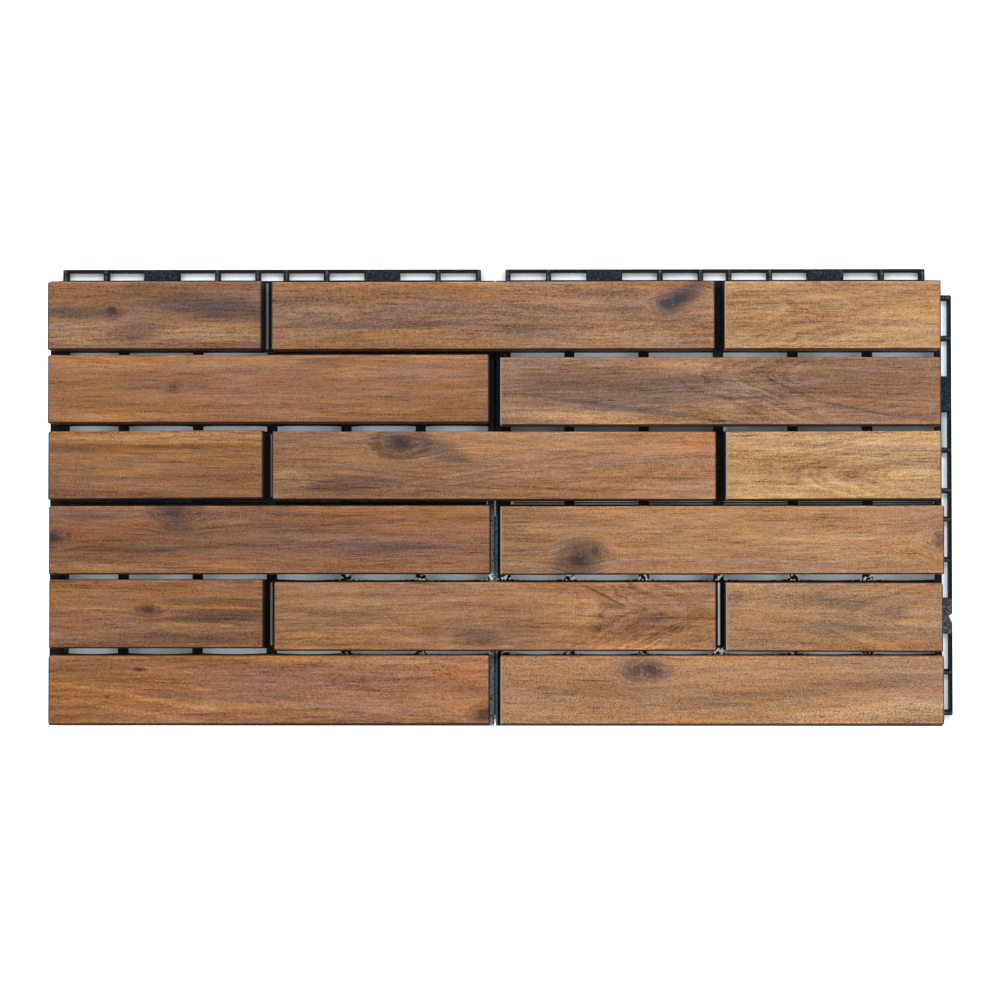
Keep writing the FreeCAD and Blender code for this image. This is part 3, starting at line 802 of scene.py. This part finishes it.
def plastic():
    """Black moulded polypropylene: near-black frames, mottled blue-grey pads, scuffs from wear, and painted highlights:
    sheen along the cross bars, lit spacer tops, and glints on the bars beside the fifth row.
    """
    graph = Graph("black_moulded_plastic")
    point = graph.place()
    x, y, z = (graph.parts(point)[number] for number in range(3))
    grain = graph.noise(point, scale=2600, detail=2)["Fac"]
    mottle = graph.noise(point, scale=650, detail=4, roughness=0.7)["Fac"]
    clouds = graph.noise(point, scale=70, detail=3)["Fac"]
    colour = graph.ramp(mottle, ((0.35, seen(4, 4, 8)), (0.65, seen(20, 22, 32))))

    def near_pad(along, first):
        inputs = {0: graph.math("SUBTRACT", along, first * MM), 1: PAD_STEP * MM / 2, 2: -PAD_STEP * MM / 2}
        away = graph.math("ABSOLUTE", graph.node("ShaderNodeMath", inputs, operation="WRAP").outputs[0])
        bars = 0.0
        for bar in BAR_PLACES:
            streak = graph.ease(graph.math("ABSOLUTE", graph.math("SUBTRACT", away, bar * MM)), 0.0011, 0.0003)
            bars = graph.math("MAXIMUM", bars, streak)
        return graph.ease(away, PAD_LENGTH * MM / 2, PAD_LENGTH * MM / 2 - 0.0006), bars

    on_top = graph.ease(graph.parts(graph.facing())[2], 0.3, 0.7)
    on_back = graph.math("MULTIPLY", on_top, graph.ease(y, 0.1442, 0.1450))
    on_side = graph.math("MULTIPLY", on_top, graph.ease(x, 0.2942, 0.2950))
    (back_pads, back_bars), (side_pads, side_bars) = near_pad(x, PAD_X), near_pad(y, PAD_Y)
    back_pads, side_pads = graph.math("MULTIPLY", back_pads, on_back), graph.math("MULTIPLY", side_pads, on_side)
    pads = graph.math("MAXIMUM", back_pads, side_pads)
    bars = graph.math("MAXIMUM", graph.math("MULTIPLY", back_bars, on_back), graph.math("MULTIPLY", side_bars, on_side))
    pad_tone = graph.ramp(mottle, (
        (0.32, seen(12, 14, 24)),
        (0.50, seen(30, 35, 47)),
        (0.70, seen(74, 83, 93)),
    ))
    lighter = graph.ease(graph.math("SUBTRACT", 0.0, y), 0.02, 0.1, 0, 0.5)
    light_pad = graph.ramp(mottle, (
        (0.36, seen(44, 52, 62)),
        (0.50, seen(104, 116, 124)),
        (0.64, seen(168, 178, 180)),
    ))
    pad_tone = graph.mix(graph.math("MULTIPLY", side_pads, lighter), pad_tone, light_pad)
    colour = graph.mix(pads, colour, pad_tone)
    # painted sheen: a pale mottled streak along the top of each cross bar of the loop strips
    colour = graph.mix(graph.math("MULTIPLY", bars, graph.ease(mottle, 0.38, 0.6)), colour, seen(96, 98, 104))

    # painted highlights on the spacer tops and a thin painted highlight line in the first row's left joint, random
    # scuffs, the scuffed seam under the lower rows, and painted glints on the bars beside the fifth row
    scratches = graph.noise(graph.stretched(point, 500, 90), detail=3, roughness=0.7)["Fac"]
    scuff = graph.ease(graph.math("MULTIPLY", scratches, mottle), 0.36, 0.48, 0, 0.35)
    # painted highlights: the spacer tops of the left joints, brighter towards the far rows, and of the lower rows
    spacer = graph.ease(z, 0.0128, 0.0133)
    left_joints = graph.math("MULTIPLY", graph.ease(x, -0.10, -0.13), graph.ease(y, -0.08, 0.12, 0.35, 1.0))
    spacer_highlight_share = graph.math("MAXIMUM", left_joints, graph.ease(y, -0.045, -0.06, 0, 0.8))
    first_joint = graph.math("MULTIPLY", graph.ease(y, 0.098, 0.100), graph.ease(x, -0.10, -0.13))
    spacer_highlight_share = graph.math("MULTIPLY", spacer_highlight_share, graph.math("SUBTRACT", 1.0, first_joint))
    spacer_highlight = graph.math("MULTIPLY", spacer, spacer_highlight_share)
    # painted highlight: a thin bright line on the spacer top in the first row's left joint
    line = graph.ease(graph.math("ABSOLUTE", graph.math("ADD", x, 0.1577)), 0.0010, 0.0005)
    line = graph.math("MULTIPLY", graph.math("MULTIPLY", line, on_top), first_joint)
    line = graph.math("MULTIPLY", line, graph.ease(y, 0.1440, 0.1425, 0, 0.75))
    seam = graph.ease(graph.math("ABSOLUTE", graph.math("ADD", x, 0.0055)), 0.0035, 0.0015)
    seam = graph.math("MULTIPLY", seam, graph.ease(y, 0.0, -0.02, 0, 0.9))
    seam = graph.math("MULTIPLY", seam, graph.ease(mottle, 0.34, 0.5))
    bar_glints = graph.ease(graph.math("ABSOLUTE", graph.math("ADD", y, 0.0541)), 0.0026, 0.0018)
    lower_bar_glints = graph.ease(graph.math("ABSOLUTE", graph.math("ADD", y, 0.1038)), 0.0026, 0.0018, 0, 0.7)
    bar_glints = graph.math("MULTIPLY", graph.math("MAXIMUM", bar_glints, lower_bar_glints), graph.ease(x, -0.13, -0.09))
    bar_glints = graph.math("MULTIPLY", bar_glints, graph.ease(x, 0.280, 0.276))
    bar_glints = graph.math("MULTIPLY", bar_glints, graph.ease(graph.noise(point, scale=430, detail=2)["Fac"], 0.5, 0.57))
    # wear (scuffs, the seam) and painted highlights (spacer tops, the first joint's line) share one pale grey
    wear_and_highlight = graph.math("MAXIMUM", graph.math("MAXIMUM", scuff, spacer_highlight), graph.math("MAXIMUM", seam, line))
    colour = graph.mix(wear_and_highlight, colour, seen(162, 170, 174))
    # painted glint: a bluish-white line on the spacer tops right of x 140 mm in the lower rows
    joint_glint = graph.math("MULTIPLY", graph.ease(x, 0.13, 0.14), graph.ease(y, -0.045, -0.06, 0, 0.7))
    colour = graph.mix(graph.math("MULTIPLY", spacer, joint_glint), colour, (0.85, 0.92, 0.95, 1))
    # painted glints: near-white specks on the bars in the gaps beside the fifth row
    colour = graph.mix(bar_glints, colour, (0.82, 0.84, 0.85, 1))
    rough = graph.ease(mottle, 0.3, 0.7, 0.45, 0.65)
    rounded = graph.node("ShaderNodeBevel", {"Radius": 0.0004}, samples=4).outputs[0]
    bump = {"Height": graph.math("ADD", grain, mottle), "Distance": 0.00012, "Strength": 0.5, "Normal": rounded}
    return graph.finish({
        "Base Color": colour,
        "Roughness": rough,
        "Specular IOR Level": 0.1,
        "Normal": graph.node("ShaderNodeBump", bump).outputs[0],
    })


def dress_bases():
    material = plastic()
    for name in ("base_left", "base_right"):
        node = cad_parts[name]
        for slot in node.material_slots:
            slot.material = material
    return material


def drain_webs(material):
    """The upright web under the narrow middle slot of each base, which darkens that slot from above."""
    low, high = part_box("slat_row_4_left")
    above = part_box("slat_row_3_left")[0]
    middle_y = (high.y + above.y) / 2
    top = low.z - 0.0025
    for name, width in WEB_WIDTHS.items():
        base_low, base_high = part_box(name)
        first, last = base_low.x + 0.012, base_high.x - 0.014
        built = bmesh.new()
        count = 48
        rings = []
        for step in range(count + 1):
            x = first + (last - first) * step / count
            lift = 0.002 * abs(math.sin(math.pi * 6 * step / count))
            half = width * MM / 2
            section = ((-half, top), (-half * 0.7, WEB_BOTTOM * MM + lift), (half * 0.7, WEB_BOTTOM * MM + lift),
                       (half, top))
            rings.append([built.verts.new((x, middle_y + y, z)) for y, z in section])
        for near, far in zip(rings, rings[1:]):
            for number in range(4):
                following = (number + 1) % 4
                built.faces.new((near[number], near[following], far[following], far[number]))
        built.faces.new(rings[0])
        built.faces.new(list(reversed(rings[-1])))
        bmesh.ops.recalc_face_normals(built, faces=built.faces)
        mesh = bpy.data.meshes.new(name + "_web")
        built.to_mesh(mesh)
        built.free()
        add_piece(name + "_web", mesh, material)


drain_webs(dress_bases())


# floor, light and camera

def floor():
    """A pale plain lit table with a coved rim. Its glow is painted light, dim under the boards and strong in the open
    where it washes out their shadows, and it is cut by patches of painted shade.
    """
    graph = Graph("pale_floor")
    point = graph.place()
    clouds = graph.noise(point, scale=3, detail=2)["Fac"]
    x, y = graph.parts(point)[0], graph.parts(point)[1]
    # painted light: the glow rises beyond the tile's outline and under the loops at its right side, clearing the
    # shadows there, and is weak and uneven under the boards
    beyond_x = graph.math("ADD", graph.ease(x, 0.2920, 0.2955, 0, 0.3), graph.ease(x, 0.3035, 0.3060, 0, 0.7))
    beyond_x = graph.math("MAXIMUM", beyond_x, graph.ease(x, -0.3005, -0.3030))
    beyond_y = graph.math("MAXIMUM", graph.ease(y, 0.1535, 0.1560), graph.ease(y, -0.1500, -0.1525))
    glow = graph.math("MAXIMUM", beyond_x, beyond_y)
    under = graph.ease(graph.noise(point, scale=22, detail=1)["Fac"], 0.35, 0.65, 0.6 * UNDER_GLOW, 1.6 * UNDER_GLOW)
    glow = graph.math("ADD", graph.math("MULTIPLY", glow, OPEN_GLOW - UNDER_GLOW), under)
    glow = graph.math("ADD", glow, graph.ease(graph.length(point), 0.7, 2.0, 0, 0.5))
    colour = graph.ramp(clouds, ((0.3, (0.68, 0.72, 0.76, 1)), (0.7, (0.70, 0.74, 0.78, 1))))
    # painted shade: in these patches the floor's colour and glow are darkened
    shade = 0.0
    for middle_x, middle_y, half_length, half_width, lost in FLOOR_SHADES:
        along = graph.math("ABSOLUTE", graph.math("SUBTRACT", x, middle_x * MM))
        across = graph.math("ABSOLUTE", graph.math("SUBTRACT", y, middle_y * MM))
        along = graph.ease(along, (half_length + 4) * MM, half_length * MM, 0, lost)
        across = graph.ease(across, (half_width + 4) * MM, half_width * MM)
        shade = graph.math("MAXIMUM", shade, graph.math("MULTIPLY", along, across))
    glow = graph.math("MULTIPLY", glow, graph.math("SUBTRACT", 1.0, shade))
    colour = graph.mix(shade, colour, (0.0, 0.0, 0.0, 1))
    material = graph.finish({
        "Base Color": colour,
        "Roughness": 0.9,
        "Specular IOR Level": 0.1,
        "Emission Color": (0.78, 0.92, 1.0, 1),
        "Emission Strength": glow,
    })
    built = bmesh.new()
    rings = []
    for radius, z in FLOOR_PROFILE:
        ring = []
        for step in range(64):
            turn = 2 * math.pi * step / 64
            ring.append(built.verts.new((radius * math.cos(turn), radius * math.sin(turn), z)))
        rings.append(ring)
    built.faces.new(rings[0])
    for near, far in zip(rings, rings[1:]):
        for number in range(64):
            following = (number + 1) % 64
            built.faces.new((near[number], far[number], far[following], near[following]))
    mesh = bpy.data.meshes.new("floor")
    built.to_mesh(mesh)
    built.free()
    mesh.materials.append(material)
    made = bpy.data.objects.new("floor", mesh)
    bpy.context.scene.collection.objects.link(made)


def soft_box(name, x, y, width, depth, level):
    """A rectangular soft box overhead, strong enough to light a matt upward surface to the level."""
    x, y, width, depth, height = (size * MM for size in (x, y, width, depth, BOX_HEIGHT))
    light = bpy.data.lights.new(name, "AREA")
    light.shape = "RECTANGLE"
    light.size = width
    light.size_y = depth
    steps = 12
    share = 0.0
    for across in range(steps):
        for along in range(steps):
            lamp_x = x + width * ((across + 0.5) / steps - 0.5)
            lamp_y = y + depth * ((along + 0.5) / steps - 0.5)
            share += height ** 2 / (lamp_x ** 2 + lamp_y ** 2 + height ** 2) ** 2 / math.pi
    share *= width * depth / steps ** 2
    light.energy = level / share * math.pi * width * depth
    lamp = bpy.data.objects.new(name, light)
    lamp.location = (x, y, height)
    bpy.context.scene.collection.objects.link(lamp)


def light_up():
    for name, x, y, width, depth, share in BOXES:
        soft_box(name, x, y, width, depth, (EXPOSURE - WORLD_LEVEL - RIM_LEVEL) * share)
    world = bpy.data.worlds.new("studio")
    world.use_nodes = True
    background = world.node_tree.nodes["Background"]
    background.inputs["Color"].default_value = (0.94, 0.97, 1.0, 1)
    background.inputs["Strength"].default_value = WORLD_LEVEL
    bpy.context.scene.world = world


def add_camera():
    data = bpy.data.cameras.new("camera")
    data.lens = LENS
    data.sensor_width = 36
    data.clip_start = 0.05
    data.clip_end = 50
    made = bpy.data.objects.new("camera", data)
    bpy.context.scene.collection.objects.link(made)
    place, target = Vector(CAMERA_PLACE) * MM, Vector(CAMERA_TARGET) * MM
    back = (place - target).normalized()
    right = Vector((0, 1, 0)).cross(back).normalized()
    up = back.cross(right)
    turn = Matrix((right, up, back)).transposed().to_4x4()
    made.matrix_world = Matrix.Translation(place) @ turn
    bpy.context.scene.camera = made


floor()
light_up()
add_camera()
bpy.context.scene.view_settings.view_transform = "Standard"
bpy.context.scene.view_settings.look = "None"
